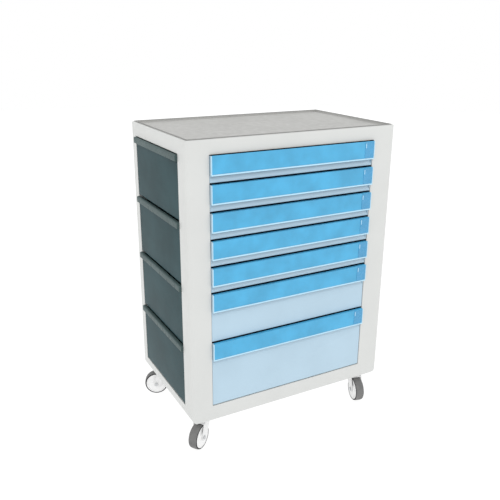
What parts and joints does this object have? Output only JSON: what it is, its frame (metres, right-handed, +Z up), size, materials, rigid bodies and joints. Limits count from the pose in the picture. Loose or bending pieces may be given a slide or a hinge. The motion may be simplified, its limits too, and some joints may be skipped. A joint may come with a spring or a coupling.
{
  "type": "ward storage cart",
  "caption": "Wheeled ward storage cart with framed worktop, pull-out drawers with full-width label pulls, and smoked tilt-out bins in one side.",
  "frame": {"origin": "on the floor, under the centre of the bounding box", "axes": "+Z up along the height, -Y out of the drawer fronts, -X out of the tilt-out bins"},
  "size_m": [0.7015, 0.444, 0.955],
  "materials": {
    "white_moulding": "satin moulded white",
    "white_paint": "satin powder coat",
    "grey_worktop": "fine-grained grey plate",
    "runner_steel": "galvanised sheet",
    "bay_liner": "dark matt liner",
    "tray_paint": "light grey powder coat",
    "pale_blue_plastic": "satin moulded pale blue",
    "label_blue_plastic": "blue card under clear gloss cover",
    "smoked_plastic": "smoked translucent polycarbonate",
    "zinc_plate": "bright zinc",
    "fork_paint": "off-white enamel",
    "hub_plastic": "white nylon",
    "tread_rubber": "grey non-marking tread"
  },
  "bodies": {
    "cabinet": {"base_frame": "white_moulding", "top_frame": "white_moulding", "worktop": "grey_worktop", "post_front_left": "white_paint", "post_front_right": "white_paint", "post_rear_left": "white_paint", "post_rear_right": "white_paint", "right_panel": "white_paint", "back_panel": "white_paint", "left_runner_wall": "runner_steel", "right_runner_wall": "runner_steel", "bin_bay": "bay_liner", "front_left_caster_mount": "zinc_plate", "front_right_caster_mount": "zinc_plate", "rear_left_caster_mount": "zinc_plate", "rear_right_caster_mount": "zinc_plate"},
    "drawer_1": {"drawer_tray_1": "tray_paint", "drawer_front_1": "pale_blue_plastic", "label_strip_1": "label_blue_plastic"},
    "drawer_2": {"drawer_tray_2": "tray_paint", "drawer_front_2": "pale_blue_plastic", "label_strip_2": "label_blue_plastic"},
    "drawer_3": {"drawer_tray_3": "tray_paint", "drawer_front_3": "pale_blue_plastic", "label_strip_3": "label_blue_plastic"},
    "drawer_4": {"drawer_tray_4": "tray_paint", "drawer_front_4": "pale_blue_plastic", "label_strip_4": "label_blue_plastic"},
    "drawer_5": {"drawer_tray_5": "tray_paint", "drawer_front_5": "pale_blue_plastic", "label_strip_5": "label_blue_plastic"},
    "drawer_6": {"drawer_tray_6": "tray_paint", "drawer_front_6": "pale_blue_plastic", "label_strip_6": "label_blue_plastic"},
    "drawer_7": {"drawer_tray_7": "tray_paint", "drawer_front_7": "pale_blue_plastic", "label_strip_7": "label_blue_plastic"},
    "bin_1_body": {"bin_1": "smoked_plastic"},
    "bin_2_body": {"bin_2": "smoked_plastic"},
    "bin_3_body": {"bin_3": "smoked_plastic"},
    "bin_4_body": {"bin_4": "smoked_plastic"},
    "front_left_swivel": {"front_left_caster_fork": "fork_paint", "front_left_caster_axle": "zinc_plate"},
    "front_left_wheel": {"front_left_caster_hub": "hub_plastic", "front_left_caster_tyre": "tread_rubber"},
    "front_right_swivel": {"front_right_caster_fork": "fork_paint", "front_right_caster_axle": "zinc_plate"},
    "front_right_wheel": {"front_right_caster_hub": "hub_plastic", "front_right_caster_tyre": "tread_rubber"},
    "rear_left_swivel": {"rear_left_caster_fork": "fork_paint", "rear_left_caster_axle": "zinc_plate"},
    "rear_left_wheel": {"rear_left_caster_hub": "hub_plastic", "rear_left_caster_tyre": "tread_rubber"},
    "rear_right_swivel": {"rear_right_caster_fork": "fork_paint", "rear_right_caster_axle": "zinc_plate"},
    "rear_right_wheel": {"rear_right_caster_hub": "hub_plastic", "rear_right_caster_tyre": "tread_rubber"}
  },
  "joints": [
    {"name": "drawer_1_slide", "type": "slide", "parent": "cabinet", "child": "drawer_1", "axis": [0, -1, 0], "range_m": [0, 0.3]},
    {"name": "drawer_2_slide", "type": "slide", "parent": "cabinet", "child": "drawer_2", "axis": [0, -1, 0], "range_m": [0, 0.3]},
    {"name": "drawer_3_slide", "type": "slide", "parent": "cabinet", "child": "drawer_3", "axis": [0, -1, 0], "range_m": [0, 0.3]},
    {"name": "drawer_4_slide", "type": "slide", "parent": "cabinet", "child": "drawer_4", "axis": [0, -1, 0], "range_m": [0, 0.3]},
    {"name": "drawer_5_slide", "type": "slide", "parent": "cabinet", "child": "drawer_5", "axis": [0, -1, 0], "range_m": [0, 0.3]},
    {"name": "drawer_6_slide", "type": "slide", "parent": "cabinet", "child": "drawer_6", "axis": [0, -1, 0], "range_m": [0, 0.3]},
    {"name": "drawer_7_slide", "type": "slide", "parent": "cabinet", "child": "drawer_7", "axis": [0, -1, 0], "range_m": [0, 0.3]},
    {"name": "bin_1_tilt", "type": "hinge", "parent": "cabinet", "child": "bin_1_body", "pos_m": [-0.33125, 0.01625, 0.739], "axis": [0, -1, 0], "range_deg": [0, 35]},
    {"name": "bin_2_tilt", "type": "hinge", "parent": "cabinet", "child": "bin_2_body", "pos_m": [-0.33125, 0.01625, 0.552], "axis": [0, -1, 0], "range_deg": [0, 35]},
    {"name": "bin_3_tilt", "type": "hinge", "parent": "cabinet", "child": "bin_3_body", "pos_m": [-0.33125, 0.01625, 0.362], "axis": [0, -1, 0], "range_deg": [0, 35]},
    {"name": "bin_4_tilt", "type": "hinge", "parent": "cabinet", "child": "bin_4_body", "pos_m": [-0.33125, 0.01625, 0.159], "axis": [0, -1, 0], "range_deg": [0, 35]},
    {"name": "front_left_swivel_turn", "type": "hinge", "parent": "cabinet", "child": "front_left_swivel", "pos_m": [-0.28925, -0.159, 0.088], "axis": [0, 0, 1], "continuous": true},
    {"name": "front_left_wheel_spin", "type": "hinge", "parent": "front_left_swivel", "child": "front_left_wheel", "pos_m": [-0.30786, -0.17252, 0.04], "axis": [0.5878, -0.809, 0], "continuous": true},
    {"name": "front_right_swivel_turn", "type": "hinge", "parent": "cabinet", "child": "front_right_swivel", "pos_m": [0.29475, -0.159, 0.088], "axis": [0, 0, 1], "continuous": true},
    {"name": "front_right_wheel_spin", "type": "hinge", "parent": "front_right_swivel", "child": "front_right_wheel", "pos_m": [0.2888, -0.18122, 0.04], "axis": [0.9659, -0.2588, 0], "continuous": true},
    {"name": "rear_left_swivel_turn", "type": "hinge", "parent": "cabinet", "child": "rear_left_swivel", "pos_m": [-0.28925, 0.178, 0.088], "axis": [0, 0, 1], "continuous": true},
    {"name": "rear_left_wheel_spin", "type": "hinge", "parent": "rear_left_swivel", "child": "rear_left_wheel", "pos_m": [-0.31026, 0.18735, 0.04], "axis": [-0.4067, -0.9135, 0], "continuous": true},
    {"name": "rear_right_swivel_turn", "type": "hinge", "parent": "cabinet", "child": "rear_right_swivel", "pos_m": [0.29475, 0.178, 0.088], "axis": [0, 0, 1], "continuous": true},
    {"name": "rear_right_wheel_spin", "type": "hinge", "parent": "rear_right_swivel", "child": "rear_right_wheel", "pos_m": [0.27314, 0.17013, 0.04], "axis": [0.342, -0.9397, 0], "continuous": true}
  ]
}
